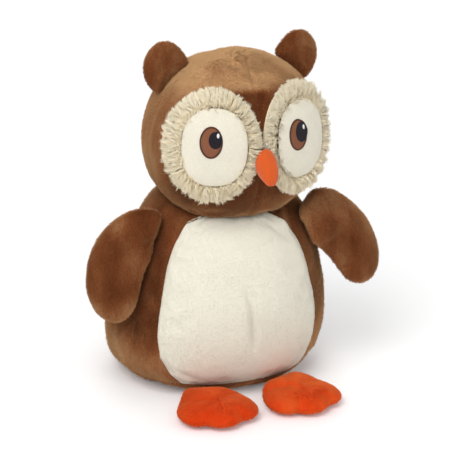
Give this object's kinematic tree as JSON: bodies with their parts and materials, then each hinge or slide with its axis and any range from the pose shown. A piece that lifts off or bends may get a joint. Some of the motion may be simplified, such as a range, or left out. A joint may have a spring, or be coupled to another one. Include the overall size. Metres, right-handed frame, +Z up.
{
  "type": "plush owl",
  "caption": "Standing plush owl, a stuffed soft toy with a flat base, a round head with embroidered eyes in shaggy rings, small ears, side wings and toed feet.",
  "frame": {"origin": "on the floor, in the middle of the flat base", "axes": "+Z up, the owl looks along -Y, and its own left side is at +X"},
  "size_m": [0.2398, 0.1994, 0.2798],
  "materials": {
    "brown": "short brown plush",
    "cream": "smooth cream plush",
    "shaggy": "shaggy cream plush",
    "ivory": "smooth ivory felt",
    "iris": "brown embroidery",
    "pupil": "dark embroidery",
    "white": "white embroidery",
    "orange": "orange felt",
    "foot": "short orange plush",
    "filling": "polyester fibre",
    "pouch": "woven cloth, filled with pellets"
  },
  "bodies": {
    "torso": {"belly_panel": "cream", "left_body_panel": "brown", "right_body_panel": "brown", "base_panel": "brown", "pellet_pouch": "pouch", "body_filling": "filling"},
    "head": {"head_front_left_panel": "brown", "head_back_left_panel": "brown", "head_back_right_panel": "brown", "head_front_right_panel": "brown", "head_filling": "filling", "left_eye_ring": "shaggy", "left_eye_disc": "ivory", "left_iris": "iris", "left_pupil": "pupil", "left_eye_highlight": "white", "right_eye_ring": "shaggy", "right_eye_disc": "ivory", "right_iris": "iris", "right_pupil": "pupil", "right_eye_highlight": "white", "beak_right_half": "orange", "beak_left_half": "orange", "beak_filling": "filling"},
    "left_wing": {"left_wing_front_panel": "brown", "left_wing_back_panel": "brown", "left_wing_filling": "filling"},
    "left_ear": {"left_ear_front_panel": "brown", "left_ear_back_panel": "brown"},
    "left_foot": {"left_foot_top_panel": "foot", "left_foot_sole_panel": "foot", "left_foot_filling": "filling"},
    "right_wing": {"right_wing_front_panel": "brown", "right_wing_back_panel": "brown", "right_wing_filling": "filling"},
    "right_ear": {"right_ear_front_panel": "brown", "right_ear_back_panel": "brown"},
    "right_foot": {"right_foot_top_panel": "foot", "right_foot_sole_panel": "foot", "right_foot_filling": "filling"}
  },
  "joints": [
    {"name": "head_turn", "type": "hinge", "parent": "torso", "child": "head", "pos_m": [0, -0.026, 0.152], "axis": [0, -0.2079, 0.9781], "range_deg": [-20, 20], "stiffness_Nm_per_rad": 0.3},
    {"name": "left_wing_swing", "type": "hinge", "parent": "torso", "child": "left_wing", "pos_m": [0.04985, -0.0533, 0.14358], "axis": [0.3483, -0.1696, -0.9219], "range_deg": [-8, 30], "stiffness_Nm_per_rad": 0.05},
    {"name": "right_wing_swing", "type": "hinge", "parent": "torso", "child": "right_wing", "pos_m": [-0.06216, -0.03385, 0.14695], "axis": [0.4089, -0.0136, 0.9125], "range_deg": [-8, 40], "stiffness_Nm_per_rad": 0.05},
    {"name": "left_ear_fold", "type": "hinge", "parent": "head", "child": "left_ear", "pos_m": [0.04828, -0.019, 0.24965], "axis": [0.7285, 0, -0.685], "range_deg": [-25, 25], "stiffness_Nm_per_rad": 0.02},
    {"name": "right_ear_fold", "type": "hinge", "parent": "head", "child": "right_ear", "pos_m": [-0.04828, -0.019, 0.24965], "axis": [0.7285, 0, 0.685], "range_deg": [-25, 25], "stiffness_Nm_per_rad": 0.02},
    {"name": "left_foot_fold", "type": "hinge", "parent": "torso", "child": "left_foot", "pos_m": [0.03044, -0.06071, 0.00866], "axis": [-0.9516, -0.3074, 0], "range_deg": [-15, 25], "stiffness_Nm_per_rad": 0.05},
    {"name": "right_foot_fold", "type": "hinge", "parent": "torso", "child": "right_foot", "pos_m": [-0.03425, -0.05941, 0.00866], "axis": [-0.9355, 0.3532, 0], "range_deg": [-15, 25], "stiffness_Nm_per_rad": 0.05}
  ]
}
